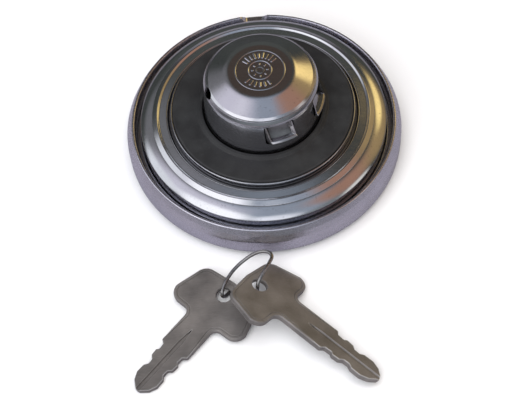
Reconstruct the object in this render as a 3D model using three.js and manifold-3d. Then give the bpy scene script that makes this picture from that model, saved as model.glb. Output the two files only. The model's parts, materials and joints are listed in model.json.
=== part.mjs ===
// Locking filler cap for a deck or tank neck, lying with its outer face down, with its two keys beside it.
//
// Units are millimetres and +Z is up. The cap rests on its outer face at z = 0, with its latch cup on top.
// The origin is the centre of the whole set's footprint; CAP_AXIS is where the cap's own axis stands from it.
// Inside, a key turns the lock plug, whose cam disc draws two forked latches in through the cup's windows.
import * as THREE from 'three';
import { mergeVertices } from 'three/addons/utils/BufferGeometryUtils.js';
import Module from 'manifold-3d';

const wasm = await Module();
wasm.setup();

// ---------- driving dimensions ----------
const ROUND = 40;            // facets of a large round part
const FINE_ROUND = 28;       // facets of a small round part
const WIRE_ROUND = 6;        // facets of a thin wire

const COVER = { radius: 50, height: 14.4, rim: 47.4, sheet: 1.2, faceRadius: 40.4, wellRadius: 21,
  wellDepth: 1.6, hole: 13.3 };
const HEM = { inner: 46.3, foot: 9.6 };
const NOTCH = { top: 11.6, bottom: 6.5, depth: 2.7 };
const PAN = { wall: 44.5, floor: 16.6, sheet: 0.9, flange: 46.9, flangeTop: 8.9 };
const SHOULDER = { centre: 37.86, height: 7.81, radius: 9.8, from: 52, to: 78 };   // the pan's curved shoulder
const SEAT = { outer: 39.9, crest: 38.0, crestTop: 18.9, inner: 34.1, base: 16.65 };
const STACK_BORE = 23;       // hole through every plate clamped under the gasket
const RETAINER = { radius: 33.1, base: 17.8, sheet: 0.6, lip: 20.8 };
const GASKET = { outer: 32.4, inner: 21.5, top: 21.4, bead: 22.2 };
const CUP = { base: 20.9, top: 20.1, wall: 0.8, flange: 28, flangeBase: 18.45, shoulder: 36.2, edge: 18.3,
  edgeTop: 38.8, discRadius: 11.8, height: 42 };
const RIVET = { circle: 25.6, radius: 1.5, low: 14.6, headRadius: 2.7, clearance: 0.15 };
const LATCH_HEADING = -46;   // degrees from +X in which the front latch slides out
const LATCH = { inner: 6.2, bar: 10.5, plateLow: 28, plateHigh: 29.8, halfWidth: 13.9,
  reach: 22.4, headIn: 15, headHigh: 35.4, lipLow: 27.9, lipHigh: 29.2, slopeTop: 20.0 };
// Where the prongs of each latch start and end, from its middle; the rear latch's stand closer together.
const PRONGS = { front: [5.4, 13.9], rear: [1.6, 8.0] };
const LATCH_SPRING = { offset: 6.5, radius: 1.7, wire: 0.3, turns: 6, height: 32.3 };
const LATCH_TRAVEL = 2.4;    // how far a latch draws in
const PLUG_TURN = 90;        // degrees the plug turns to draw it in
const FOLLOWER = { radius: 1.1, circle: 8.0, slotHalf: 1.4 };
const PLUG = { radius: 6.0, face: 2.0, shoulder: 22.0, neck: 4.0, tailTop: 27.55, square: 4.4 };
const KEYWAY = { width: 3.0, length: 8.4, deep: 20.5 };
const HOUSING = { bore: 6.15, radius: 10, top: 23.4, face: 1.9, rim: 12.9, flange: 16.6, relief: 7.2 };
const WAFER = { first: 6.5, pitch: 3.0, thick: 1.2, count: 4, half: 2.5, low: -5.2, high: 6.2 };
const BEZEL = { inner: 12.8, crest: 14.6, outer: 16.2, low: 0.35, high: 1.55 };
const SHUTTER = { radius: 5.3, pivot: 9.0, ear: 1.9, arm: 1.6, low: 0.8, high: 1.6 };
const PIVOT = { radius: 1.0, hole: 1.15, head: 1.8, headLow: 0.4, top: 3.9 };
const KEY = { bowWidth: 31.0, bowHeight: 17.4, farWidth: 26.4, stem: 11.4, thick: 2.0, hole: 5.9,
  holeRadius: 2.7, cornerRadius: 4.5 };
// How far along the cut part of a blade each point of its edge is, and its distance from the middle.
const BITTING = [[0, 5.7], [0.05, 4.3], [0.17, 4.1], [0.21, 4.9], [0.34, 4.7], [0.40, 3.5], [0.50, 3.4],
  [0.57, 4.4], [0.74, 4.5], [0.88, 3.3], [0.99, 0.9]];
const RING_WIRE = 0.7;       // radius of the key ring's wire
const CAP_AXIS = { x: 0.056, y: 26.094 };   // the cap's axis, from the centre of the set's footprint

const radians = THREE.MathUtils.degToRad;

// ---------- solids and booleans ----------
function toSolid(geometry) {
  const bare = geometry.index ? geometry.toNonIndexed() : geometry.clone();
  for (const name of Object.keys(bare.attributes)) {
    if (name !== 'position') bare.deleteAttribute(name);
  }
  const merged = mergeVertices(bare, 1e-4);
  const solid = new wasm.Manifold(new wasm.Mesh({
    numProp: 3,
    vertProperties: new Float32Array(merged.attributes.position.array),
    triVerts: new Uint32Array(merged.index.array),
  }));
  if (solid.volume() > 0) return solid;
  const flipped = merged.index.array.slice();
  for (let i = 0; i < flipped.length; i += 3) {
    [flipped[i], flipped[i + 1]] = [flipped[i + 1], flipped[i]];
  }
  return new wasm.Manifold(new wasm.Mesh({
    numProp: 3,
    vertProperties: new Float32Array(merged.attributes.position.array),
    triVerts: new Uint32Array(flipped),
  }));
}

function toGeometry(solid) {
  const mesh = solid.getMesh();
  const geometry = new THREE.BufferGeometry();
  geometry.setAttribute('position', new THREE.BufferAttribute(new Float32Array(mesh.vertProperties), 3));
  geometry.setIndex(new THREE.BufferAttribute(new Uint32Array(mesh.triVerts), 1));
  geometry.computeVertexNormals();
  return geometry;
}

const subtract = (solid, ...tools) => tools.reduce((left, tool) => left.subtract(tool), solid);
const join = (solid, ...others) => others.reduce((left, other) => left.add(other), solid);

// Revolves a closed outline of [radius, height] points about +Z.
function revolve(outline, facets = ROUND) {
  const points = outline.map(([r, z]) => new THREE.Vector2(r, z));
  const closes = points[0].x === 0 && points.at(-1).x === 0;
  if (!closes) points.push(points[0].clone());
  const geometry = new THREE.LatheGeometry(points, facets);
  return toSolid(geometry.rotateX(Math.PI / 2));
}

const ring = (inner, outer, low, high, facets = ROUND) =>
  revolve([[inner, low], [outer, low], [outer, high], [inner, high]], facets);

const rod = (radius, low, high, x = 0, y = 0, facets = FINE_ROUND) =>
  toSolid(new THREE.CylinderGeometry(radius, radius, high - low, facets)
    .rotateX(Math.PI / 2).translate(x, y, (low + high) / 2));

const block = (x0, x1, y0, y1, z0, z1) =>
  toSolid(new THREE.BoxGeometry(x1 - x0, y1 - y0, z1 - z0)
    .translate((x0 + x1) / 2, (y0 + y1) / 2, (z0 + z1) / 2));

function prism(shape, low, high, curveSegments = 8) {
  const depth = high - low;
  const geometry = new THREE.ExtrudeGeometry(shape, { depth, bevelEnabled: false, curveSegments });
  return toSolid(geometry.translate(0, 0, low));
}

function tube(curve, radius, steps, facets = WIRE_ROUND) {
  const section = new THREE.Shape();
  for (let i = 0; i < facets; i++) {
    const angle = (i / facets) * 2 * Math.PI;
    section[i ? 'lineTo' : 'moveTo'](radius * Math.cos(angle), radius * Math.sin(angle));
  }
  section.closePath();
  return toSolid(new THREE.ExtrudeGeometry(section, { steps, extrudePath: curve, bevelEnabled: false }));
}

// Points of a circular arc in the [radius, height] plane, angles in degrees.
function arc(centreR, centreZ, radius, from, to, steps) {
  return Array.from({ length: steps + 1 }, (_, i) => {
    const angle = radians(from + ((to - from) * i) / steps);
    return [centreR + radius * Math.cos(angle), centreZ + radius * Math.sin(angle)];
  });
}

const turned = (solid, degrees) => solid.rotate([0, 0, degrees]);

class Coil extends THREE.Curve {
  constructor(radius, length, turns) {
    super();
    Object.assign(this, { radius, length, turns });
  }
  getPoint(t, target = new THREE.Vector3()) {
    const angle = t * this.turns * 2 * Math.PI;
    return target.set(this.radius * Math.cos(angle), this.radius * Math.sin(angle), t * this.length);
  }
}

function coilSpring(radius, wire, length, turns) {
  return tube(new Coil(radius, length - 2 * wire, turns), wire, turns * 7, 4).translate([0, 0, wire]);
}

// ---------- finishes ----------
const finish = (color, roughness, metalness) =>
  new THREE.MeshStandardMaterial({ color, roughness, metalness });
const CHROME = finish('#d4d6dc', 0.12, 1.0);
const SATIN_CHROME = finish('#a3a1ad', 0.32, 1.0);
const BLACK_RUBBER = finish('#26272a', 0.55, 0.0);
const ZINC_STEEL = finish('#a9adb0', 0.38, 1.0);
const DIE_CAST = finish('#8f9194', 0.45, 1.0);
const BRASS = finish('#b99a52', 0.35, 1.0);
const SPRING_STEEL = finish('#6f7276', 0.3, 1.0);
const NICKEL = finish('#8d8a88', 0.3, 1.0);

const cap = new THREE.Group();
const keySet = new THREE.Group();
function place(group, name, solid, material) {
  const mesh = new THREE.Mesh(toGeometry(solid), material);
  mesh.name = name;
  group.add(mesh);
}
const fit = (name, solid, material) => place(cap, name, solid, material);

// ---------- outer shell ----------
function outerCover() {
  const { radius, height, rim, sheet, faceRadius, wellRadius, wellDepth, hole } = COVER;
  const corner = radius - faceRadius;
  const shell = revolve([
    [hole, wellDepth], [17.2, wellDepth], [wellRadius, 0],
    ...arc(faceRadius, corner, corner, -90, 0, 5),
    [49.7, 11.2], [49.1, 12.7], [48.3, 13.9], [rim, height],
    [46.8, height - 0.3], [HEM.inner, height - 1.2], [HEM.inner, HEM.foot], [48.3, HEM.foot],
    ...arc(faceRadius, corner, corner - sheet, 0, -90, 4),
    [wellRadius + 0.2, sheet], [17.4, wellDepth + sheet], [hole, wellDepth + sheet],
  ]);
  const mouth = new THREE.Shape();
  mouth.moveTo(-NOTCH.top / 2, 1);
  mouth.lineTo(-NOTCH.top / 2, 0);
  mouth.quadraticCurveTo(-NOTCH.bottom / 2 - 0.6, -0.3, -NOTCH.bottom / 2, -1.6);
  mouth.quadraticCurveTo(-NOTCH.bottom / 2, -NOTCH.depth, -NOTCH.bottom / 2 + 1.4, -NOTCH.depth);
  mouth.lineTo(NOTCH.bottom / 2 - 1.4, -NOTCH.depth);
  mouth.quadraticCurveTo(NOTCH.bottom / 2, -NOTCH.depth, NOTCH.bottom / 2, -1.6);
  mouth.quadraticCurveTo(NOTCH.bottom / 2 + 0.6, -0.3, NOTCH.top / 2, 0);
  mouth.lineTo(NOTCH.top / 2, 1);
  const cutter = toSolid(new THREE.ExtrudeGeometry(mouth, { depth: 8, bevelEnabled: false, curveSegments: 4 })
    .rotateX(Math.PI / 2).translate(0, 52, height));
  return subtract(shell, cutter);
}
fit('outer_cover', outerCover(), SATIN_CHROME);

// A flat ring pressed into four waves, which holds the inner pan's flange up against the cover's hem.
function waveSpring() {
  const low = 3.4;
  const high = 7.9;
  const sheet = 0.6;
  const waves = 4;
  const swing = (high - low - sheet) / 2;
  const inner = 42.2;
  const outer = 45.4;
  const section = [[inner, 0], [outer, 0], [outer, sheet], [inner, sheet], [inner, 0]];
  const geometry = new THREE.LatheGeometry(section.map(([r, z]) => new THREE.Vector2(r, z)), ROUND);
  geometry.rotateX(Math.PI / 2);
  const position = geometry.attributes.position;
  for (let i = 0; i < position.count; i++) {
    const angle = Math.atan2(position.getY(i), position.getX(i));
    position.setZ(i, position.getZ(i) + low + swing * (1 + Math.sin(waves * angle)));
  }
  return toSolid(geometry);
}
fit('wave_spring', waveSpring(), SPRING_STEEL);

// ---------- plates clamped under the gasket ----------
const rivetPlaces = [0, 90, 180, 270].map((degrees) => {
  const angle = radians(degrees + LATCH_HEADING);
  return [RIVET.circle * Math.cos(angle), RIVET.circle * Math.sin(angle)];
});
const rivetHoles = () => rivetPlaces.map(([x, y]) => rod(RIVET.radius + RIVET.clearance, 12, 20, x, y, 16));

// The pan's shoulder is a flattened arc between its upright wall and the step round the seat ring.
function innerPan() {
  const { wall, floor, sheet, flange, flangeTop } = PAN;
  const { centre, height, radius, from, to } = SHOULDER;
  return subtract(revolve([
    [STACK_BORE, floor - sheet], [39.0, floor - sheet],
    ...arc(centre, height, radius - sheet, to, from, 4),
    [wall - sheet, 14.3], [wall - sheet, flangeTop - sheet], [flange, flangeTop - sheet], [flange, flangeTop],
    [wall, flangeTop], [wall, 14.9],
    ...arc(centre, height, radius, from, to, 5),
    [39.5, 17.3], [39.2, floor], [STACK_BORE, floor],
  ]), ...rivetHoles());
}
fit('inner_pan', innerPan(), CHROME);

function seatRing() {
  const { outer, crest, crestTop, inner, base } = SEAT;
  return subtract(revolve([
    [STACK_BORE, base], [38.6, base], [39.0, 17.5], [outer, 17.5], [outer, 17.7],
    [crest, crestTop], [36.2, crestTop - 0.05], [34.6, crestTop - 0.25], [inner, crestTop - 0.7],
    [33.8, 17.75], [STACK_BORE, 17.75],
  ]), ...rivetHoles());
}
fit('seat_ring', seatRing(), CHROME);

function gasketRetainer() {
  const { radius, base, sheet, lip } = RETAINER;
  return subtract(revolve([
    [STACK_BORE, base], [radius - 0.7, base], [radius, base + 0.7], [radius, lip - 0.15],
    [radius - 0.25, lip], [radius - sheet, lip - 0.15], [radius - sheet, base + 0.9],
    [radius - 0.9, base + sheet], [STACK_BORE, base + sheet],
  ]), ...rivetHoles());
}
fit('gasket_retainer', gasketRetainer(), CHROME);

function gasket() {
  const { outer, inner, top, bead } = GASKET;
  const overFlange = CUP.flangeBase + CUP.wall + 0.1;
  return revolve([
    [inner, overFlange], [CUP.flange + 0.3, overFlange], [CUP.flange + 0.3, RETAINER.base + 0.75],
    [outer - 0.6, RETAINER.base + 0.75], [outer, 19.4], [outer, top - 0.6], [outer - 0.6, top - 0.1],
    [31.4, top], [23.4, top], [22.6, bead], [inner + 0.3, bead], [inner, bead - 0.4],
  ]);
}
fit('gasket', gasket(), BLACK_RUBBER);

rivetPlaces.forEach(([x, y], i) => {
  const shank = rod(RIVET.radius, RIVET.low, CUP.flangeBase + CUP.wall - 0.02, x, y, 16);
  const head = rod(RIVET.headRadius, RIVET.low, PAN.floor - PAN.sheet - 0.03, x, y, 16);
  fit(`stack_rivet_${i + 1}`, join(shank, head), ZINC_STEEL);
});

// ---------- latch cup ----------
function latchCup() {
  const { base, top, wall, flange, flangeBase, shoulder, edge, edgeTop, discRadius, height } = CUP;
  const bend = 2.4;
  const cup = revolve([
    [0, height], [discRadius, height], [edge, edgeTop],
    ...arc(top - bend, shoulder, bend, 62, 0, 4),
    [base, flangeBase + wall + 1.6], [base + 0.4, flangeBase + wall],
    [flange, flangeBase + wall], [flange, flangeBase], [base - wall, flangeBase],
    ...arc(top - bend, shoulder, bend - wall, 0, 62, 3),
    [edge - 0.3, edgeTop - wall - 0.05], [discRadius - 0.2, height - wall], [0, height - wall],
  ]);
  const clear = 0.4;
  const windows = [];
  for (const [heading, [near, far]] of [[LATCH_HEADING, PRONGS.front], [LATCH_HEADING + 180, PRONGS.rear]]) {
    for (const side of [-1, 1]) {
      const edges = [side * (near - clear), side * (far + clear)].sort((a, b) => a - b);
      windows.push(turned(block(12, 24, edges[0], edges[1], 26.6, 35.95), heading));
    }
  }
  const vent = rod(1.3, -3, 3, 0, 0, 16).scale([1, 2, 1]).rotate([0, 45, 0]).translate([19.4, 0, 37.9]);
  return subtract(cup, ...windows, turned(vent, -165), ...rivetHoles());
}
fit('latch_cup', latchCup(), CHROME);

// ---------- lock housing and its fittings on the outer face ----------
const onPivot = (radius, low, high, facets) => rod(radius, low, high, 0, SHUTTER.pivot, facets);
const guideScrewPlaces = [0, 180].map((degrees) => {
  const angle = radians(LATCH_HEADING + 90 + degrees);
  return [8.4 * Math.cos(angle), 8.4 * Math.sin(angle)];
});

function lockHousing() {
  const { bore, radius, top, face, rim, flange, relief } = HOUSING;
  const inner = COVER.wellDepth + COVER.sheet + 0.05;
  return subtract(revolve([
    [bore, face], [rim, face], [rim, inner], [flange, inner], [flange, 4.4], [radius, 4.4], [radius, top],
    [bore, top], [bore, 18.6], [relief, 18.3], [relief, 5.3], [bore, 5.0],
  ], 36),
  onPivot(1.1, face - 1, 4.0, 16),
  ...guideScrewPlaces.map(([x, y]) => rod(1.1, 17, top + 1, x, y, 12)));
}
fit('lock_housing', lockHousing(), DIE_CAST);

function lockNut() {
  const hexagon = new THREE.Shape();
  for (let i = 0; i < 6; i++) {
    const angle = radians(60 * i);
    hexagon[i ? 'lineTo' : 'moveTo'](14.6 * Math.cos(angle), 14.6 * Math.sin(angle));
  }
  return subtract(prism(hexagon, 4.5, 7.5), rod(HOUSING.radius + 0.1, 4, 8, 0, 0, 48));
}
fit('lock_nut', lockNut(), BRASS);

function lockBezel() {
  const { inner, crest, outer, low, high } = BEZEL;
  return revolve([
    [inner, high], [inner, 0.9], [inner + 0.5, low + 0.1], [crest, low], [outer - 0.5, 0.9], [outer, high],
  ], 48);
}
fit('lock_bezel', lockBezel(), CHROME);

// A round lid on an arm, which swings aside about its pivot to uncover the keyway.
function keyholeShutter() {
  const { radius, pivot, ear, arm, low, high } = SHUTTER;
  const bar = block(-arm, arm, 4, pivot, low, high);
  const lid = join(rod(radius, low, high), onPivot(ear, low, high, 20), bar);
  return subtract(lid, onPivot(PIVOT.hole, 0, 3, 16));
}
fit('keyhole_shutter', keyholeShutter(), CHROME);

function shutterPivot() {
  const { radius, head, headLow, top } = PIVOT;
  return join(onPivot(radius, headLow + 0.1, top, 16), onPivot(head, headLow, SHUTTER.low - 0.05, 20));
}
fit('shutter_pivot', shutterPivot(), ZINC_STEEL);

const shutterWasher = () => subtract(onPivot(2.0, 1.65, 1.85, 20), onPivot(PIVOT.hole, 1, 3, 16));
fit('shutter_washer', shutterWasher(), SPRING_STEEL);

// ---------- lock plug, wafers and cam ----------
const waferHeights = Array.from({ length: WAFER.count }, (_, i) => WAFER.first + i * WAFER.pitch);

function lockPlug() {
  const { radius, face, shoulder, neck, tailTop, square } = PLUG;
  const body = join(rod(radius, face, shoulder, 0, 0, 48), rod(neck, shoulder, 25.95, 0, 0, 32),
    block(-square / 2, square / 2, -square / 2, square / 2, 25.9, tailTop));
  const slots = waferHeights.map((z) => block(-2.6, 2.6, -7, 7, z - 0.1, z + WAFER.thick + 0.1));
  const springPockets = waferHeights.map((z) => block(2.5, 4.6, -3.6, 1.7, z - 0.1, z + WAFER.thick + 0.4));
  const clipGroove = subtract(rod(6, 23.55, 24.35), rod(3.2, 23, 25));
  return subtract(body,
    block(-KEYWAY.width / 2, KEYWAY.width / 2, -KEYWAY.length / 2, KEYWAY.length / 2, face - 1, KEYWAY.deep),
    ...slots, ...springPockets, clipGroove, rod(1.35, 21.5, 30, 0, 0, 16));
}
fit('lock_plug', lockPlug(), BRASS);

waferHeights.forEach((z, i) => {
  const plate = join(block(-WAFER.half, WAFER.half, WAFER.low, WAFER.high, z, z + WAFER.thick),
    block(WAFER.half - 0.1, 4.3, 0.2, 1.3, z, z + WAFER.thick));
  const window = block(-1.6, 1.6, -3.6, 4.9, z - 1, z + 3);
  fit(`wafer_${i + 1}`, subtract(plate, window), BRASS);
  const spring = coilSpring(0.45, 0.12, 3.6, 3).rotate([-90, 0, 0]).translate([3.55, -3.5, z + 0.6]);
  fit(`wafer_spring_${i + 1}`, spring, SPRING_STEEL);
});

fit('plug_clip', subtract(ring(3.35, 7.0, 23.6, 24.3, 32), block(-1.8, 1.8, -9, 0, 23, 25)), SPRING_STEEL);

// The cam disc's two slots follow r = circle - travel * turn, so each latch moves evenly with the plug.
function camSlot() {
  const steps = 14;
  const runOut = 12;
  const along = (t) => -runOut + ((PLUG_TURN + 2 * runOut) * t) / steps;
  const at = (degrees, offset) => {
    const radius = FOLLOWER.circle - (LATCH_TRAVEL * degrees) / PLUG_TURN + offset;
    const angle = radians(LATCH_HEADING - degrees);
    return [radius * Math.cos(angle), radius * Math.sin(angle)];
  };
  const outline = new THREE.Shape();
  for (let t = 0; t <= steps; t++) outline[t ? 'lineTo' : 'moveTo'](...at(along(t), FOLLOWER.slotHalf));
  for (let t = steps; t >= 0; t--) outline.lineTo(...at(along(t), -FOLLOWER.slotHalf));
  return prism(outline, 25, 29);
}

function camDisc() {
  const hole = PLUG.square / 2 + 0.12;
  return subtract(rod(10.6, 26.05, 27.5, 0, 0, 48), block(-hole, hole, -hole, hole, 25, 29),
    camSlot(), turned(camSlot(), 180));
}
fit('cam_disc', camDisc(), ZINC_STEEL);
fit('cam_screw', join(rod(1.2, 21.9, 27.7, 0, 0, 16), rod(3.4, 27.62, 29.1, 0, 0, 24)), ZINC_STEEL);

// ---------- latches ----------
function latchGuide() {
  const plate = join(rod(18.6, 24.5, 25.7, 0, 0, 48), ring(7.6, 10, 23.5, 24.6, 32),
    block(-9, 9, 14.8, 16.2, 25.6, 30.2), block(-9, 9, -16.2, -14.8, 25.6, 30.2));
  return subtract(turned(plate, LATCH_HEADING), rod(4.4, 24, 26),
    ...guideScrewPlaces.flatMap(([x, y]) => [rod(1.1, 20, 26, x, y, 12), rod(2.0, 24.85, 27, x, y, 16)]));
}
fit('latch_guide', latchGuide(), ZINC_STEEL);
guideScrewPlaces.forEach(([x, y], i) => {
  const screw = join(rod(0.9, 17.3, 25.5, x, y, 12), rod(1.8, 24.95, 25.65, x, y, 16));
  fit(`guide_screw_${i + 1}`, screw, ZINC_STEEL);
});

function latch(heading, [near, far]) {
  const { inner, bar, plateLow, plateHigh, halfWidth, reach, headIn, headHigh } = LATCH;
  const { lipLow, lipHigh, slopeTop } = LATCH;
  const wedge = revolve([[0, lipLow], [reach - 0.5, lipLow], [reach, lipLow + 0.4], [reach, lipHigh],
    [slopeTop, headHigh], [0, headHigh]], 96);
  const parts = [
    block(inner, bar, -halfWidth, halfWidth, plateLow, plateHigh),
    rod(FOLLOWER.radius, 26.1, plateLow + 0.5, FOLLOWER.circle, 0, 16),
  ];
  for (const side of [-1, 1]) {
    const [y0, y1] = [side * near, side * far].sort((a, b) => a - b);
    parts.push(block(bar - 0.5, headIn + 0.5, y0, y1, plateLow, plateHigh));
    parts.push(block(headIn, 24, y0, y1, lipLow, headHigh).intersect(wedge));
    const pad = side * LATCH_SPRING.offset;
    parts.push(block(inner, inner + 1.2, pad - 2.6, pad + 2.6, plateHigh - 0.2, 34.4));
  }
  return turned(join(...parts), heading);
}
fit('latch_front', latch(LATCH_HEADING, PRONGS.front), ZINC_STEEL);
fit('latch_rear', latch(LATCH_HEADING + 180, PRONGS.rear), ZINC_STEEL);

[['left', 1], ['right', -1]].forEach(([name, side]) => {
  const { offset, radius, wire, turns, height } = LATCH_SPRING;
  const length = 2 * LATCH.inner - 0.2;
  const spring = coilSpring(radius, wire, length, turns).rotate([0, 90, 0])
    .translate([-length / 2, side * offset, height]);
  fit(`latch_spring_${name}`, turned(spring, LATCH_HEADING), SPRING_STEEL);
});

// ---------- keys ----------
// A key's outline in its own plane: the bow's far edge is at x = 0 and the tip is at x = length.
function keyOutline({ shoulder, length }) {
  const { bowWidth, bowHeight, farWidth, stem, cornerRadius: r } = KEY;
  const fillet = 2.5;
  const upper = [
    ...arc(r + 0.9, farWidth / 2 - r, r, 172, 100, 5),
    ...arc(bowHeight - r, bowWidth / 2 - r, r, 90, -5, 6),
    ...arc(bowHeight + fillet, stem / 2 + fillet, fillet, 190, 270, 4),
    ...BITTING.map(([along, half]) => [shoulder + along * (length - shoulder), half]),
  ];
  const lower = upper.map(([x, y]) => [x, -y]).reverse();
  return [[0, 0], ...upper, [length, 0], ...lower];
}

function key(size) {
  const { thick, hole, holeRadius } = KEY;
  const start = size.shoulder - 9;
  const outline = new THREE.Shape(keyOutline(size).map(([x, y]) => new THREE.Vector2(x, y)));
  const groove = (z0, z1) => block(start, size.length + 1, -0.8, 0.8, z0, z1);
  return subtract(prism(outline, 0, thick), rod(holeRadius, -1, thick + 1, hole, 0, 20),
    groove(thick - 0.6, thick + 1), groove(-1, 0.5)).translate([-hole, 0, 0]);
}

// Each key is placed by the centre of its hole, its heading on the table, and how far it leans.
const KEY_A = { shoulder: 31.4, length: 50.2, hole: [-18.5, -65.5, 1.9], heading: -134, pitch: 2.3, roll: 0 };
const KEY_B = { shoulder: 36, length: 57.2, hole: [-6.7, -66.4, 7.8], heading: -43.8, pitch: 6.4, roll: -26 };
function placedKey(size) {
  return key(size).rotate([size.roll, 0, 0]).rotate([0, size.pitch, 0]).rotate([0, 0, size.heading])
    .translate(size.hole);
}
place(keySet, 'key_a', placedKey(KEY_A), NICKEL);
place(keySet, 'key_b', placedKey(KEY_B), NICKEL);

// The split wire ring runs up through key A's hole, over the table, down through key B's hole and back below.
const ringRoute = [
  [-16.3, -63, 0.95], [-17.7, -64.3, 1.15], [-18.7, -65.5, 2.4], [-19.1, -65.8, 4.8], [-18.3, -63.5, 6.2],
  [-16.1, -60.1, 7.2], [-13.3, -57.4, 8.2], [-10.8, -55.9, 9.3], [-8, -54.8, 10.6], [-5.2, -54.3, 11.6],
  [-2.6, -54.9, 12.3], [-1.2, -56.8, 12.6], [-2.2, -59.4, 12.6], [-4.5, -62.9, 12.3], [-6.55, -65.8, 10.6],
  [-7.05, -67.1, 8.2], [-7.65, -66.5, 6], [-8.35, -64.7, 3.4], [-9.85, -63.3, 1.7], [-12.25, -62.5, 1],
  [-15.45, -62.5, 0.95],
].map((point) => new THREE.Vector3(...point));
place(keySet, 'key_ring', tube(new THREE.CatmullRomCurve3(ringRoute), RING_WIRE, 60, 6), SPRING_STEEL);

const group = new THREE.Group();
group.add(cap, keySet);
group.position.set(CAP_AXIS.x, CAP_AXIS.y, 0);
export default group;
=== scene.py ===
"""Looks of a chromed locking filler cap, lying outer face down, with two keys on a wire ring.

Sizes are in millimetres, and become metres as each mesh is made. Round pieces are turned outlines whose
corners are rounded; the keys and latches are built in mesh code; every material is procedural.
"""
import json
import math

import bmesh
import bpy
from mathutils import Matrix, Vector


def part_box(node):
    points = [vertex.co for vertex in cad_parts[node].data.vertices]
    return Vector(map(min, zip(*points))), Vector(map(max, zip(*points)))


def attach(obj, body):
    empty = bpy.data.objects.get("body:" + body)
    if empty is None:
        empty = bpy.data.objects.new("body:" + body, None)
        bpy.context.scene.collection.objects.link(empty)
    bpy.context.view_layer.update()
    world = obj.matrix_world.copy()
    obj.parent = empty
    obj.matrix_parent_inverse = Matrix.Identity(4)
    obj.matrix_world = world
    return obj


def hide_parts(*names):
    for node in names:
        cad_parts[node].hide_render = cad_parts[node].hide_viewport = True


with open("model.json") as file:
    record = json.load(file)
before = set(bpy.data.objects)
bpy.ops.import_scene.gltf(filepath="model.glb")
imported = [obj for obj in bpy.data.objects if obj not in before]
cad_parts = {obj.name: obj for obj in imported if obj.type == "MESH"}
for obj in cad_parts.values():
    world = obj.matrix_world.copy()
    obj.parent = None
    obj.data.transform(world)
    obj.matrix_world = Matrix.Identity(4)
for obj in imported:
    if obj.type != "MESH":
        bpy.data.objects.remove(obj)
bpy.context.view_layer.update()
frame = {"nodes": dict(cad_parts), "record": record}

MM = 0.001
cover_low, cover_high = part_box("outer_cover")
CAP = Vector(((cover_low.x + cover_high.x) / 2, (cover_low.y + cover_high.y) / 2, 0)) / MM   # the cap's axis

# ---------- sizes, in the cap's own frame ----------
LATHE_STEPS = 288            # steps round a large turned piece
CORNER_STEPS = 7             # steps round a rounded corner of an outline
HOLD = 0.14                  # how near the ends of a straight run the points that hold it flat stand
SHARP = math.radians(32)     # edges sharper than this aren't smoothed
KEY_SHARP = math.radians(11)  # the same for the keys, whose bevels are shallow

# The camera, as solved from the cap's circles: its place from the cap's axis, its turns and its lens.
CAMERA_PLACE = (-3.0405, -275.262, 398.475)
CAMERA_TILT, CAMERA_ROLL = math.radians(58.448), math.radians(4.678)
CAMERA_LENS, SENSOR_WIDTH = 89.37, 36.0

FLOOR_HALF = 1500
CUP_TOP = 42.0
DISC_RADIUS = 11.8           # where the flat of the cup's top and its cone would meet
FLAT_RADIUS = 9.05           # the part of the flat that holds the stamped mark
MARK_OUTER, MARK_INNER, MARK_CORE = 8.55, 4.0, 1.3
MARK_HEIGHT = 0.17
WINDOW_LOW, WINDOW_HIGH = 26.6, 35.95
VENT_AZIMUTH, VENT_PLACE = -165, (19.4, 0, 37.9)

LATCH_HEADING = -46
LATCH = {"inner": 6.2, "bar": 10.5, "low": 28.0, "high": 29.8, "half_width": 13.9, "head_in": 15.0}
# Where each latch's prongs start and end, from its middle.
PRONGS = {"front": (5.4, 13.9), "rear": (1.6, 8.0)}
HEAD_WALL, HEAD_SCOOP = 0.6, 2.4    # a latch head's side walls, and the depth of the scoop between them
WINDOW_GAP, WINDOW_CORNER = 0.4, 0.9
SPRING_OFFSET = 6.5
FOLLOWER_CIRCLE, FOLLOWER_RADIUS = 8.0, 1.1

NOTCH_TOP, NOTCH_BOTTOM, NOTCH_DEPTH, COVER_HEIGHT = 11.6, 6.5, 2.7, 14.4
# The pan's shoulder: the centre of its arc in (r, z), the sheet's two radii, and the arc's ends in degrees.
SHOULDER = {"centre": 37.86, "height": 7.81, "under": 8.9, "over": 9.8, "from": 52, "to": 78}
SHUTTER_PIVOT, SHUTTER_HOLE = 9.0, 1.15

KEY = {"bow_width": 31.0, "bow_height": 17.4, "far_width": 26.4, "stem": 11.4, "thick": 2.0, "hole": 5.9,
       "hole_radius": 2.7, "corner": 4.5, "fillet": 2.5}
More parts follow.
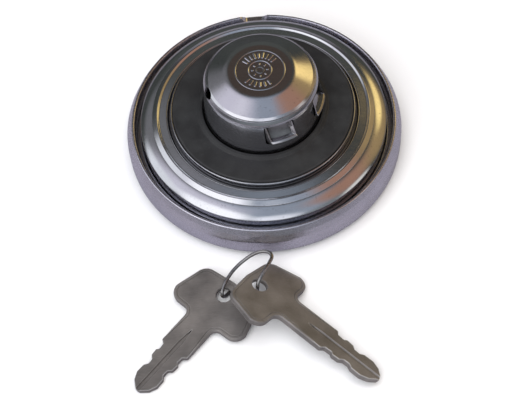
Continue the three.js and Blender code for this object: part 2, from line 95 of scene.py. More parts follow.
# How far along the cut part of a blade each point of its edge is, and its distance from the middle.
BITTING = [(0, 5.7), (0.05, 4.3), (0.17, 4.1), (0.21, 4.9), (0.34, 4.7), (0.40, 3.5), (0.50, 3.4),
           (0.57, 4.4), (0.74, 4.5), (0.88, 3.3), (0.99, 0.9)]
KEY_A = {"shoulder": 31.4, "length": 50.2, "hole": (-18.5, -65.5, 1.9), "heading": -134, "pitch": 2.3,
         "roll": 0}
KEY_B = {"shoulder": 36.0, "length": 57.2, "hole": (-6.7, -66.4, 7.8), "heading": -43.8, "pitch": 6.4,
         "roll": -26}
RING_WIRE = 0.62
RING_ROUTE = [
    (-16.3, -63.0, 0.95), (-17.7, -64.3, 1.15), (-18.7, -65.5, 2.4), (-19.1, -65.8, 4.8), (-18.3, -63.5, 6.2),
    (-16.1, -60.1, 7.2), (-13.3, -57.4, 8.2), (-10.8, -55.9, 9.3), (-8.0, -54.8, 10.6), (-5.2, -54.3, 11.6),
    (-2.6, -54.9, 12.3), (-1.2, -56.8, 12.6), (-2.2, -59.4, 12.6), (-4.5, -62.9, 12.3), (-6.55, -65.8, 10.6),
    (-7.05, -67.1, 8.2), (-7.65, -66.5, 6.0), (-8.35, -64.7, 3.4), (-9.85, -63.3, 1.7), (-12.25, -62.5, 1.0),
    (-15.45, -62.5, 0.95)]


# ---------- outlines ----------
def rounded(points, closed=True):
    """Rounds the corners of an outline whose points are (r, z, corner radius)."""
    out = []
    count = len(points)
    for i, (x, y, radius) in enumerate(points):
        here = Vector((x, y))
        if radius == 0 or (not closed and i in (0, count - 1)):
            out.append(here)
            continue
        back = Vector(points[i - 1][:2]) - here
        ahead = Vector(points[(i + 1) % count][:2]) - here
        half = back.angle(ahead) / 2
        reach = min(radius / math.tan(half), 0.49 * back.length, 0.49 * ahead.length)
        actual = reach * math.tan(half)
        start = here + back.normalized() * reach
        middle = here + (back.normalized() + ahead.normalized()).normalized() * actual / math.sin(half)
        arm = start - middle
        sweep = math.pi - 2 * half
        turn = 1 if back.x * ahead.y - back.y * ahead.x < 0 else -1
        for k in range(CORNER_STEPS + 1):
            angle = turn * sweep * k / CORNER_STEPS
            cos, sin = math.cos(angle), math.sin(angle)
            out.append(middle + Vector((arm.x * cos - arm.y * sin, arm.x * sin + arm.y * cos)))
    return held(out, closed)


def held(points, closed):
    """Adds a point near each end of long straight runs, so that their shading stays flat."""
    out = []
    for i, here in enumerate(points):
        out.append(here)
        if i == len(points) - 1 and not closed:
            break
        run = points[(i + 1) % len(points)] - here
        if run.length > 4 * HOLD:
            out += [here + run.normalized() * HOLD, here + run - run.normalized() * HOLD]
    return out


# ---------- meshes ----------
def to_object(name, bm, smooth=SHARP):
    """Makes an object of a bmesh that is in millimetres about the cap's axis."""
    bmesh.ops.recalc_face_normals(bm, faces=bm.faces)
    mesh = bpy.data.meshes.new(name)
    bm.to_mesh(mesh)
    bm.free()
    mesh.transform(Matrix.Scale(MM, 4) @ Matrix.Translation(CAP))
    piece = bpy.data.objects.new(name, mesh)
    bpy.context.scene.collection.objects.link(piece)
    shade(piece, smooth)
    return piece


def shade(piece, smooth=SHARP):
    for face in piece.data.polygons:
        face.use_smooth = True
    piece.data.set_sharp_from_angle(angle=smooth)


def turned(outline, steps=LATHE_STEPS, height=None):
    """A bmesh of a closed outline of (r, z) turned about +Z; height(r, angle) may lift points of the top."""
    bm = bmesh.new()
    columns = []
    for k in range(steps):
        angle = 2 * math.pi * k / steps
        cos, sin = math.cos(angle), math.sin(angle)
        column = []
        for j, (r, z) in enumerate(outline):
            if r < 1e-6:
                column.append(columns[0][j] if columns else bm.verts.new((0, 0, z)))
                continue
            lift = height(r, angle) if height and z > CUP_TOP - 0.01 else 0
            column.append(bm.verts.new((r * cos, r * sin, z + lift)))
        columns.append(column)
    count = len(outline)
    for k in range(steps):
        here, ahead = columns[k], columns[(k + 1) % steps]
        for j in range(count):
            corners = [here[j], ahead[j], ahead[(j + 1) % count], here[(j + 1) % count]]
            unique = list(dict.fromkeys(corners))
            if len(unique) > 2 and outline[j][0] + outline[(j + 1) % count][0] > 1e-6:
                bm.faces.new(unique)
    return bm


def prism(points, low, high):
    """A bmesh of an outline of (x, y) between two heights."""
    bm = bmesh.new()
    bottom = [bm.verts.new((x, y, low)) for x, y in points]
    top = [bm.verts.new((x, y, high)) for x, y in points]
    bm.faces.new(bottom)
    bm.faces.new(top)
    for i in range(len(points)):
        j = (i + 1) % len(points)
        bm.faces.new((bottom[i], bottom[j], top[j], top[i]))
    return bm


def box(low, high, bevel=0.0):
    bm = bmesh.new()
    bmesh.ops.create_cube(bm, size=1)
    low, high = Vector(low), Vector(high)
    size = high - low
    bm.transform(Matrix.Translation((low + high) / 2) @ Matrix.Diagonal((*size, 1)))
    if bevel:
        bmesh.ops.bevel(bm, geom=bm.edges[:], offset=bevel, segments=3, profile=0.5, affect="EDGES")
    return bm


def about_z(degrees):
    return Matrix.Rotation(math.radians(degrees), 4, "Z")


def combine(piece, tools, operation):
    """Cuts tools from a piece or joins them to it, and removes them."""
    for tool in tools:
        change = piece.modifiers.new("combine", "BOOLEAN")
        change.operation = operation
        change.solver = "MANIFOLD"
        change.object = tool
    apply_modifiers(piece)
    for tool in tools:
        bpy.data.objects.remove(tool)
    shade(piece)
    return piece


def apply_modifiers(piece):
    graph = bpy.context.evaluated_depsgraph_get()
    mesh = bpy.data.meshes.new_from_object(piece.evaluated_get(graph))
    piece.modifiers.clear()
    piece.data = mesh


def finish_piece(piece, body, slot, material, *replaced):
    """Gives a piece its material, puts it under the body it moves with and hides the nodes it stands for; the
    slot is not used.
    """
    piece.data.materials.clear()
    piece.data.materials.append(material)
    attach(piece, body)
    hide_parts(*replaced)
    return piece


# ---------- materials ----------
MIX_FACTOR, MIX_FIRST, MIX_SECOND, MIX_RESULT = 0, 6, 7, 2      # the colour sockets of a mix node


class Surface:
    """A node material with short calls for what the finishes below share."""

    def __init__(self, name):
        self.material = bpy.data.materials.new(name)
        self.material.use_nodes = True
        self.tree = self.material.node_tree
        self.shader = self.tree.nodes["Principled BSDF"]
        coordinates = self.tree.nodes.new("ShaderNodeTexCoord")
        self.place = coordinates.outputs["Object"]

    def node(self, kind, inputs=None, **settings):
        made = self.tree.nodes.new(kind)
        for key, value in settings.items():
            setattr(made, key, value)
        for key, value in (inputs or {}).items():
            self.put(made.inputs[key], value)
        return made

    def put(self, socket, value):
        if isinstance(value, bpy.types.NodeSocket):
            self.tree.links.new(value, socket)
        else:
            socket.default_value = value

    def set(self, name, value):
        self.put(self.shader.inputs[name], value)

    def stretched(self, scale, turn=0.0):
        rotation = (0, 0, math.radians(turn))
        inputs = {"Vector": self.place, "Scale": scale, "Rotation": rotation}
        return self.node("ShaderNodeMapping", inputs).outputs[0]

    def polar(self):
        """(distance from the cap's axis, height, 0), for marks left by turning and polishing."""
        moved = self.node("ShaderNodeVectorMath", {0: self.place, 1: CAP * -MM}, operation="ADD").outputs[0]
        parts = self.node("ShaderNodeSeparateXYZ", {"Vector": moved})
        flat = self.node("ShaderNodeCombineXYZ", {"X": parts.outputs["X"], "Y": parts.outputs["Y"]}).outputs[0]
        length = self.node("ShaderNodeVectorMath", {0: flat}, operation="LENGTH").outputs["Value"]
        return self.node("ShaderNodeCombineXYZ", {"X": length, "Y": parts.outputs["Z"]}).outputs[0]

    def noise(self, scale, detail=4.0, place=None, roughness=0.55):
        inputs = {"Vector": place or self.place, "Scale": scale, "Detail": detail, "Roughness": roughness}
        return self.node("ShaderNodeTexNoise", inputs).outputs["Fac"]

    def spread(self, value, low, high, start=0.3, end=0.7):
        """Maps a noise value onto a range of numbers."""
        inputs = {"Value": value, "From Min": start, "From Max": end, "To Min": low, "To Max": high}
        return self.node("ShaderNodeMapRange", inputs, clamp=True).outputs["Result"]

    def math(self, operation, first, second):
        return self.node("ShaderNodeMath", {0: first, 1: second}, operation=operation).outputs[0]

    def mix(self, factor, first, second):
        made = self.tree.nodes.new("ShaderNodeMix")
        made.data_type = "RGBA"
        self.put(made.inputs[MIX_FACTOR], factor)
        self.put(made.inputs[MIX_FIRST], first)
        self.put(made.inputs[MIX_SECOND], second)
        return made.outputs[MIX_RESULT]

    def painted_crevice_shade(self, distance, low=0.35, high=0.85):
        """Painted shade: 0 on open surfaces, rising to 1 in grooves and corners found by ambient occlusion."""
        open_air = self.node("ShaderNodeAmbientOcclusion", {"Distance": distance}, samples=8).outputs["AO"]
        return self.spread(open_air, 1.0, 0.0, low, high)

    def bump(self, height, distance, strength=1.0, below=None):
        inputs = {"Height": height, "Distance": distance, "Strength": strength}
        if below is not None:
            inputs["Normal"] = below
        return self.node("ShaderNodeBump", inputs).outputs["Normal"]


def rgba(red, green, blue):
    return (red, green, blue, 1.0)


def plated(name, tint, cloudy, gloss, dull):
    """Metal plating: polishing lines round the axis, cloudy wear, fine scratches, and painted shade in the
    grooves, which are also rougher.
    """
    surface = Surface(name)
    clouds = surface.noise(70, 5)
    specks = surface.spread(surface.noise(1500, 3), 0.0, 1.0, 0.62, 0.72)
    # Ambient occlusion mask: it paints shade into the colour of grooves and corners, and also roughens them.
    crevice_shade = surface.painted_crevice_shade(0.0016)
    colour = surface.mix(surface.spread(clouds, 0.0, 1.0), tint, cloudy)
    worn = surface.mix(surface.math("MULTIPLY", specks, 0.35), colour, rgba(0.16, 0.15, 0.145))
    # The near-black colour mixed in here is painted shade in the grooves.
    surface.set("Base Color", surface.mix(surface.math("MULTIPLY", crevice_shade, 0.8), worn,
                                          rgba(0.03, 0.028, 0.026)))
    scratches = surface.noise(60, 4, surface.stretched((2, 90, 30), 35))
    rough = surface.spread(scratches, gloss, dull, 0.35, 0.75)
    rough = surface.math("ADD", rough, surface.spread(clouds, 0.0, 0.06))
    surface.set("Roughness", surface.math("ADD", rough, surface.math("MULTIPLY", crevice_shade, 0.3)))
    surface.set("Metallic", 1.0)
    rings = surface.noise(2600, 3, surface.polar())
    fine = surface.bump(rings, 0.000004, 0.6)
    surface.set("Normal", surface.bump(surface.noise(420, 4), 0.000003, 0.5, fine))
    return surface.material


def steel(name, tint, dark, roughness, turn=0.0, grain=(8, 260, 60), reach=0.001):
    """Bare or zinc-plated steel and brass: a brushed grain, patches of tarnish and painted shade in the
    corners.
    """
    surface = Surface(name)
    grain_noise = surface.noise(45, 5, surface.stretched(grain, turn))
    tarnish = surface.noise(160, 5)
    colour = surface.mix(surface.spread(tarnish, 0.0, 1.0), tint, dark)
    streaked = surface.mix(surface.spread(grain_noise, 0.0, 0.35), colour, dark)
    # Painted shade: ambient occlusion over reach darkens the colour in corners and recesses.
    surface.set("Base Color", surface.mix(surface.math("MULTIPLY", surface.painted_crevice_shade(reach), 0.8), streaked,
                                          rgba(0.02, 0.018, 0.016)))
    surface.set("Metallic", 1.0)
    surface.set("Roughness", surface.spread(grain_noise, roughness - 0.07, roughness + 0.1))
    fine = surface.bump(grain_noise, 0.00001, 0.5)
    surface.set("Normal", surface.bump(surface.noise(900, 4), 0.000008, 0.4, fine))
    return surface.material


def key_metal():
    """Worn satin nickel: fine scratches both ways, darker patches where fingers rub, painted shade in the
    cuts.
    """
    surface = Surface("key_nickel")
    patches = surface.noise(95, 6)
    along = surface.noise(50, 5, surface.stretched((6, 240, 60), 44))
    across = surface.noise(50, 5, surface.stretched((6, 300, 60), -38))
    marks = surface.math("MAXIMUM", along, across)
    colour = surface.mix(surface.spread(patches, 0.0, 1.0), rgba(0.285, 0.262, 0.248),
                         rgba(0.195, 0.182, 0.174))
    scuffed = surface.mix(surface.spread(marks, 0.0, 0.5, 0.5, 0.75), colour, rgba(0.42, 0.40, 0.385))
    inward = surface.node("ShaderNodeAmbientOcclusion", {"Distance": 0.0004}, samples=8, inside=True)
    inward = inward.outputs["AO"]
    rubbed = surface.mix(surface.spread(inward, 0.75, 0.0, 0.45, 0.9), scuffed, rgba(0.72, 0.71, 0.70))
    # Painted shade: ambient occlusion darkens the colour in the cuts and grooves.
    crevice_shade = surface.math("MULTIPLY", surface.painted_crevice_shade(0.0005), 0.85)
    surface.set("Base Color", surface.mix(crevice_shade, rubbed, rgba(0.025, 0.023, 0.021)))
    surface.set("Metallic", surface.spread(patches, 0.55, 0.75))
    surface.set("Roughness", surface.spread(marks, 0.40, 0.54, 0.35, 0.75))
    fine = surface.bump(marks, 0.000012, 0.5)
    surface.set("Normal", surface.bump(surface.noise(1100, 4), 0.000012, 0.5, fine))
    return surface.material


def rubber():
    """Moulded black rubber: a dull satin skin, faint moulding rings, dust that lightens it in patches."""
    surface = Surface("gasket_rubber")
    dust = surface.spread(surface.noise(120, 6), 0.0, 1.0, 0.4, 0.75)
    specks = surface.spread(surface.noise(2200, 2), 0.0, 1.0, 0.66, 0.74)
    base = surface.mix(dust, rgba(0.020, 0.020, 0.021), rgba(0.034, 0.035, 0.036))
    specks = surface.math("MULTIPLY", specks, 0.5)
    surface.set("Base Color", surface.mix(specks, base, rgba(0.10, 0.10, 0.10)))
    surface.set("Roughness", surface.spread(surface.noise(240, 4), 0.40, 0.54))
    surface.set("Specular IOR Level", 0.45)
    rings = surface.bump(surface.noise(900, 2, surface.polar()), 0.00002, 0.5)
    surface.set("Normal", surface.bump(surface.noise(1600, 4), 0.00002, 0.6, rings))
    return surface.material


def floor_material():
    """A pale table for the camera; polished metal sees it dimmer, and dimmer still away from the cap."""
    surface = Surface("studio_floor")
    tone = surface.spread(surface.noise(3, 2), 0.0, 1.0)
    pale = surface.mix(tone, rgba(0.93, 0.93, 0.935), rgba(0.95, 0.95, 0.95))
    away = surface.node("ShaderNodeVectorMath", {0: surface.place}, operation="LENGTH").outputs["Value"]
    dim = surface.mix(surface.spread(away, 0.0, 1.0, 0.09, 0.30), rgba(0.30, 0.29, 0.33),
                      rgba(0.045, 0.045, 0.05))
    mirrored = surface.node("ShaderNodeLightPath").outputs["Is Glossy Ray"]
    surface.set("Base Color", surface.mix(mirrored, pale, dim))
    surface.set("Roughness", 0.75)
    surface.set("Specular IOR Level", 0.2)
    return surface.material


def make_materials():
    return {
        "cover_chrome": plated("cover_chrome", rgba(0.86, 0.84, 0.93), rgba(0.74, 0.73, 0.80), 0.19, 0.31),
        "bright_chrome": plated("bright_chrome", rgba(0.80, 0.81, 0.84), rgba(0.72, 0.73, 0.76), 0.07, 0.20),
        "cup_chrome": plated("cup_chrome", rgba(0.78, 0.78, 0.82), rgba(0.70, 0.70, 0.73), 0.09, 0.22),
        "spring_steel": steel("spring_steel", rgba(0.36, 0.37, 0.39), rgba(0.22, 0.22, 0.24), 0.32),
        "zinc_plated_steel": steel("zinc_plated_steel", rgba(0.58, 0.60, 0.62), rgba(0.42, 0.42, 0.42), 0.36,
                                   20),
        # reach=0.004 widens the painted shade, so that it darkens the latch heads' scoops.
        "latch_steel": steel("latch_steel", rgba(0.72, 0.71, 0.73), rgba(0.48, 0.47, 0.48), 0.17, -46,
                             reach=0.004),
        "die_cast_zinc": steel("die_cast_zinc", rgba(0.46, 0.47, 0.49), rgba(0.33, 0.33, 0.34), 0.46, 70,
                               (80, 90, 80)),
        "brass": steel("brass", rgba(0.66, 0.49, 0.22), rgba(0.42, 0.30, 0.13), 0.33, 10),
        "key_nickel": key_metal(),
        "ring_wire": steel("ring_wire", rgba(0.50, 0.49, 0.48), rgba(0.33, 0.32, 0.31), 0.24, 15),
        "gasket_rubber": rubber(),
    }


# ---------- turned pieces ----------
def outer_cover(material):
    outline = rounded([
        (13.3, 1.6, 0.3), (17.2, 1.6, 1.6), (21.0, 0.0, 2.2), (50.0, 0.0, 9.6), (50.0, 9.7, 2.5),
        (48.95, 12.1, 3.5), (47.75, 14.3, 0.9), (46.95, 14.3, 0.5), (46.3, 12.6, 0.8), (46.3, 9.6, 0.2),
        (48.3, 9.6, 0.2), (48.8, 7.9, 0.4), (48.8, 1.2, 8.4), (21.2, 1.2, 1.4), (17.4, 2.8, 1.2),
        (13.3, 2.8, 0.3)])
    piece = to_object("outer_cover_skin", turned(outline))
    notch = rounded([
        (-NOTCH_TOP / 2 - 2, 1.0, 0), (-NOTCH_TOP / 2 - 2, 0.02, 0), (-NOTCH_TOP / 2 + 0.6, 0.02, 2.0),
        (-NOTCH_BOTTOM / 2, -NOTCH_DEPTH, 1.4), (NOTCH_BOTTOM / 2, -NOTCH_DEPTH, 1.4),
        (NOTCH_TOP / 2 - 0.6, 0.02, 2.0), (NOTCH_TOP / 2 + 2, 0.02, 0), (NOTCH_TOP / 2 + 2, 1.0, 0)])
    cutter = prism([tuple(p) for p in notch], 0, 8)
    cutter.transform(Matrix.Translation((0, 52, COVER_HEIGHT)) @ Matrix.Rotation(math.radians(90), 4, "X"))
    combine(piece, [to_object("notch_cutter", cutter)], "DIFFERENCE")
    return finish_piece(piece, "cap", "cover_chrome", material, "outer_cover")


def inner_pan(material):
    """The sealing pan: a flat floor, a step, a broad rounded shoulder and a flange under the cover's hem."""
    centre = (SHOULDER["centre"], SHOULDER["height"])
    low, high = SHOULDER["from"], SHOULDER["to"]
    under = [(r, z, 0) for r, z in arc_points(*centre, SHOULDER["under"], high, low, 10)]
    over = [(r, z, 0) for r, z in arc_points(*centre, SHOULDER["over"], low, high, 14)]
    outline = rounded([(23.0, 15.7, 0.1), (39.0, 15.7, 0.5), *under, (43.6, 14.3, 0.4), (43.6, 8.0, 0.5),
                       (46.9, 8.0, 0.2), (46.9, 8.9, 0.2), (44.5, 8.9, 0.8), (44.5, 15.0, 0.6), *over,
                       (39.5, 17.2, 0.2), (39.2, 16.6, 0.2), (23.0, 16.6, 0.1)])
    piece = to_object("inner_pan_skin", turned(outline))
    return finish_piece(piece, "cap", "bright_chrome", material, "inner_pan")


def seat_ring(material):
    outline = rounded([
        (23.0, 16.65, 0.1), (38.6, 16.65, 0.3), (39.0, 17.5, 0.2), (39.95, 17.45, 0.1), (39.95, 17.75, 0.12),
        (38.2, 18.85, 0.4), (37.4, 18.25, 0.4), (34.5, 18.85, 0.5), (34.05, 18.1, 0.3), (33.8, 17.75, 0.1),
        (23.0, 17.75, 0.1)])
    piece = to_object("seat_ring_skin", turned(outline))
    return finish_piece(piece, "cap", "bright_chrome", material, "seat_ring")


def gasket_retainer(material):
    outline = rounded([
        (23.0, 17.8, 0.1), (33.1, 17.8, 0.7), (33.1, 20.8, 0.28), (32.5, 20.8, 0.28), (32.5, 18.4, 0.3),
        (23.0, 18.4, 0.1)])
    piece = to_object("gasket_retainer_skin", turned(outline))
    return finish_piece(piece, "cap", "bright_chrome", material, "gasket_retainer")


def gasket(material):
    outline = rounded([
        (21.5, 19.35, 0.1), (28.3, 19.35, 0.1), (28.3, 18.6, 0.1), (31.8, 18.6, 0.3), (32.4, 19.4, 0.3),
        (32.4, 21.35, 0.7), (23.6, 21.35, 0.6), (22.7, 22.2, 0.5), (21.5, 22.2, 0.45)])
    piece = to_object("gasket_skin", turned(outline))
    return finish_piece(piece, "cap", "gasket_rubber", material, "gasket")


def ridge(distance, half_width):
    """A smooth raised line: 1 on its middle, 0 from half_width outwards."""
    near = max(0.0, 1 - abs(distance) / half_width)
    return near * near * (3 - 2 * near)


def tick(r, angle, centre, low, high, half_width):
    """A short raised bar along a radius."""
    turn = (angle - centre + math.pi) % (2 * math.pi) - math.pi
    end = max(low - r, r - high, 0.0)
    return ridge(math.hypot(r * turn, end) if abs(turn) < 0.5 else 9.0, half_width)


def stamped_mark(r, angle):
    """The generic stamped mark of the cup: two circles, two arcs of bars and a ring of dots."""
    height = max(0.7 * ridge(r - MARK_OUTER, 0.28), 0.7 * ridge(r - MARK_INNER, 0.28),
                 0.5 * ridge(r - MARK_CORE, 0.3))
    for k in range(9):
        height = max(height, tick(r, angle, math.radians(38 + 13 * k), 5.4, 7.0 + 0.4 * (k % 2), 0.5))
    for k in range(6):
        height = max(height, tick(r, angle, math.radians(222 + 15 * k), 5.4, 7.0, 0.5))
    for k in range(8):
        height = max(height, 0.8 * tick(r, angle, math.radians(45 * k), 2.4, 2.8, 0.38))
    return MARK_HEIGHT * height


def window_cutters():
    """Four openings in the cup's wall, two for each forked latch."""
    cutters = []
    for heading, (near, far) in ((LATCH_HEADING, PRONGS["front"]), (LATCH_HEADING + 180, PRONGS["rear"])):
        for side in (-1, 1):
            edges = sorted((side * (near - WINDOW_GAP), side * (far + WINDOW_GAP)))
            start, end = edges
            corners = ((start, WINDOW_LOW), (end, WINDOW_LOW), (end, WINDOW_HIGH), (start, WINDOW_HIGH))
            opening = rounded([(*corner, WINDOW_CORNER) for corner in corners])
            cutter = prism([tuple(p) for p in opening], 12, 24)
            stand = Matrix(((0, 0, 1, 0), (1, 0, 0, 0), (0, 1, 0, 0), (0, 0, 0, 1)))
            cutter.transform(about_z(heading) @ stand)
            cutters.append(to_object("window_cutter", cutter))
    return cutters


def vent_cutter():
    """A slanted oval hole through the rounding of the cup's top edge."""
    bm = bmesh.new()
    bmesh.ops.create_cone(bm, cap_ends=True, segments=40, radius1=1.0, radius2=1.9, depth=5)
    slant = Matrix.Rotation(math.radians(45), 4, "Y") @ Matrix.Diagonal((1, 1.9, 1, 1))
    bm.transform(about_z(VENT_AZIMUTH) @ Matrix.Translation(VENT_PLACE) @ slant)
    return to_object("vent_cutter", bm)


def latch_cup(material):
    rim = rounded([
        (FLAT_RADIUS, CUP_TOP, 0), (DISC_RADIUS, CUP_TOP, 11.0), (18.2, 38.85, 0.8), (19.0, 38.2, 0.4),
        (19.15, 37.85, 0.1), (19.35, 37.9, 0.1), (20.0, 36.7, 1.0), (20.15, 35.4, 1.2), (20.9, 22.0, 1.0),
        (20.95, 19.25, 0.5), (28.0, 19.25, 0.2),
        (28.0, 18.45, 0.2), (20.1, 18.45, 0.4), (19.35, 35.4, 1.6), (18.9, 36.9, 1.2), (17.7, 38.0, 1.0),
        (11.6, 41.2, 0.4), (0.0, 41.2, 0)], closed=False)
    step = 0.11
    steps = int(FLAT_RADIUS / step)
    disc = [Vector((FLAT_RADIUS * k / steps, CUP_TOP)) for k in range(steps)]
    piece = to_object("latch_cup_skin", turned(disc + rim, 360, stamped_mark))
    combine(piece, window_cutters() + [vent_cutter()], "DIFFERENCE")
    return finish_piece(piece, "cap", "bright_chrome", material, "latch_cup")


def lock_bezel(material):
    outline = rounded([
        (12.8, 1.55, 0.1), (12.8, 0.85, 0.3), (13.4, 0.4, 0.5), (14.8, 0.36, 0.8), (15.8, 0.9, 0.6),
        (16.2, 1.55, 0.1)])
    piece = to_object("lock_bezel_skin", turned(outline, 160))
    return finish_piece(piece, "cap", "bright_chrome", material, "lock_bezel")


def keyhole_shutter(material):
    """A dished lid on an arm, with a lifted thumb edge, over the keyway."""
    lid = rounded([(0.0, 1.6, 0), (4.9, 1.6, 0.3), (5.3, 1.2, 0.3), (5.2, 0.85, 0.3), (4.0, 0.85, 0.5),
                   (3.4, 1.0, 0.5), (0.0, 1.0, 0)], closed=False)
    piece = to_object("keyhole_shutter_skin", turned(lid, 96))
    arm = to_object("shutter_arm", box((-1.6, 4.2, 0.85), (1.6, SHUTTER_PIVOT, 1.6), 0.2))
    ear = turned(rounded([(SHUTTER_HOLE, 0.85, 0.15), (1.9, 0.85, 0.2), (1.9, 1.6, 0.2),
                          (SHUTTER_HOLE, 1.6, 0.15)]), 64)
    ear.transform(Matrix.Translation((0, SHUTTER_PIVOT, 0)))
    hole = turned([Vector((0, 0)), Vector((SHUTTER_HOLE, 0)), Vector((SHUTTER_HOLE, 3)), Vector((0, 3))], 64)
    hole.transform(Matrix.Translation((0, SHUTTER_PIVOT, 0)))
    combine(piece, [arm], "UNION")
    combine(piece, [to_object("shutter_hole", hole)], "DIFFERENCE")
    combine(piece, [to_object("shutter_ear", ear)], "UNION")
    return finish_piece(piece, "shutter", "bright_chrome", material, "keyhole_shutter")


# ---------- latches ----------
def latch_head(near, far):
    """One wedge head: a deep scoop between two side walls, over a thin rounded lip."""
    wall = HEAD_WALL
    shell = rounded([
        (LATCH["head_in"], 27.95, 0), (22.05, 27.95, 0.4), (22.4, 28.3, 0.25), (22.4, 28.75, 0.3),
        (21.75, 29.3, 0.3), (20.6, 33.2, 1.2), (20.0, 35.25, 0.3), (19.5, 35.4, 0.2),
        (LATCH["head_in"], 35.4, 0)], closed=False)
    slopes = [near, near + 0.12, near + wall - 0.2, near + wall, near + wall + 0.15, near + wall + 0.4]
    slopes += [near + wall + 1.0 + 0.8 * k for k in range(8)]
    slopes = [v for v in slopes if v < far - wall - 0.6]
    slopes += [far - wall - 0.4, far - wall - 0.15, far - wall, far - wall + 0.2, far - 0.12, far]
    bm = bmesh.new()
    rows = []
    for v in slopes:
        edge = min(v - near, far - v)
        inside = min(1.0, max(0.0, (edge - wall + 0.2) / 0.35))
        inside = inside * inside * (3 - 2 * inside)
        trim = 0.1 * (1 - min(1.0, edge / 0.12))
        row = []
        for r, z in shell:
            scoop = HEAD_SCOOP * inside * min(1.0, max(0.0, (z - 29.25) / 0.5)) if r > 19 else 0
            reach = r - scoop - (trim if r > 16 else 0)
            row.append(bm.verts.new((math.sqrt(reach * reach - v * v), v, z)))
        rows.append(row)
    count = len(shell)
    for here, ahead in zip(rows, rows[1:]):
        for j in range(count):
            bm.faces.new((here[j], here[(j + 1) % count], ahead[(j + 1) % count], ahead[j]))
    bm.faces.new(rows[0])
    bm.faces.new(rows[-1])
    return bm


def latch(name, body, node, heading, prongs, material):
    """A forked sliding bolt: a bar with a follower pin, two spring pads and two prongs with wedge heads."""
    inner, bar, low, high, half = (LATCH[key] for key in ("inner", "bar", "low", "high", "half_width"))
    near, far = prongs
    piece = to_object(name, box((inner, -half, low), (bar, half, high), 0.2))
    pin_outline = rounded([(0, 26.1, 0), (FOLLOWER_RADIUS, 26.1, 0.2), (FOLLOWER_RADIUS, low + 0.5, 0),
                           (0, low + 0.5, 0)], closed=False)
    pin = turned(pin_outline, 32)
    pin.transform(Matrix.Translation((FOLLOWER_CIRCLE, 0, 0)))
    parts = [pin]
    for side in (-1, 1):
        v0, v1 = sorted((side * near, side * far))
        neck_end = (LATCH["head_in"] + 0.6, v1 - 0.05, high - 0.05)
        parts.append(box((bar - 0.5, v0 + 0.05, low + 0.05), neck_end, 0.15))
        pad = side * SPRING_OFFSET
        parts.append(box((inner + 0.02, pad - 2.6, high - 0.4), (inner + 1.2, pad + 2.6, 34.4), 0.3))
        parts.append(latch_head(v0, v1))
    combine(piece, [to_object("latch_part", part) for part in parts], "UNION")
    piece.data.transform(Matrix.Translation(CAP * MM) @ about_z(heading) @ Matrix.Translation(CAP * -MM))
    shade(piece)
    return finish_piece(piece, body, "latch_steel", material, node)


# ---------- keys ----------
def arc_points(cx, cy, radius, start, end, steps):
    angles = [math.radians(start + (end - start) * k / steps) for k in range(steps + 1)]
    return [(cx + radius * math.cos(a), cy + radius * math.sin(a)) for a in angles]


def key_outline(size):
    """A key's outline in its own plane: the bow's far edge at x = 0, the tip at x = length."""
    corner, fillet, bow = KEY["corner"], KEY["fillet"], KEY["bow_height"]
    shoulder, length = size["shoulder"], size["length"]
    edge = [(shoulder + along * (length - shoulder), half, 0.5) for along, half in BITTING]
    upper = arc_points(corner + 0.9, KEY["far_width"] / 2 - corner, corner, 172, 100, 10)
    upper += arc_points(bow - corner, KEY["bow_width"] / 2 - corner, corner, 90, -5, 12)
    upper += arc_points(bow + fillet, KEY["stem"] / 2 + fillet, fillet, 190, 270, 10)
    blade = rounded([(shoulder - 3.0, KEY["stem"] / 2, 0), *edge, (length, 0, 0)], closed=False)
    upper += [tuple(p) for p in blade]
    lower = [(x, -y) for x, y in reversed(upper[:-1])]
    return [(0.1, 0)] + upper + lower


def inset(points, widths):
    """Moves each point of an outline inwards along its corner's bisector."""
    out = []
    count = len(points)
    for i in range(count):
        before, here, after = (Vector(points[(i + k) % count]) for k in (-1, 0, 1))
        along = ((here - before).normalized() + (after - here).normalized()).normalized()
        out.append(here + Vector((along.y, -along.x)) * widths[i])
    return out


def key_blank(size):
    """The flat key: a chamfered edge, and inside it a coined line, closer to the edge on the blade."""
    points = key_outline(size)
    thick = KEY["thick"]
    levels = [(0.16, 0.0), (0.04, 0.05), (0.0, 0.16), (0.0, thick - 0.4)]
    border = [(0.32, thick - 0.06), (0.42, thick), (0.98, thick), (1.1, thick - 0.2), (1.3, thick - 0.22),
              (1.5, thick - 0.08)]
    bm = bmesh.new()
    rows = []
    for width, z in levels:
        rows.append([bm.verts.new((p.x, p.y, z)) for p in inset(points, [width] * len(points))])
    for width, z in border:
        widths = []
        for x, _ in points:
            on_blade = min(1.0, max(0.0, (x - size["shoulder"] + 9) / 8))
            widths.append(width * (1 - 0.74 * on_blade))
        rows.append([bm.verts.new((p.x, p.y, z)) for p in inset(points, widths)])
    count = len(points)
    for below, above in zip(rows, rows[1:]):
        for j in range(count):
            bm.faces.new((below[j], below[(j + 1) % count], above[(j + 1) % count], above[j]))
    bm.faces.new(rows[0])
    bm.faces.new(rows[-1])
    return bm


def groove_cutter(size, low, high, low_scale, high_scale):
    """A milled groove with a pointed start, whose sides lean out towards the open face."""
    start, end = size["shoulder"] - 9, size["length"] + 1
    half = [(start, 0.0), (start + 2.5, 0.5), (start + 6, 0.85), (end, 0.85)]
    plan = half + [(x, -y) for x, y in reversed(half[1:])]
    bm = bmesh.new()
    bottom = [bm.verts.new((x, y * low_scale, low)) for x, y in plan]
    top = [bm.verts.new((x, y * high_scale, high)) for x, y in plan]
    bm.faces.new(bottom)
    bm.faces.new(top)
    for i in range(len(plan)):
        j = (i + 1) % len(plan)
        bm.faces.new((bottom[i], bottom[j], top[j], top[i]))
    return bm


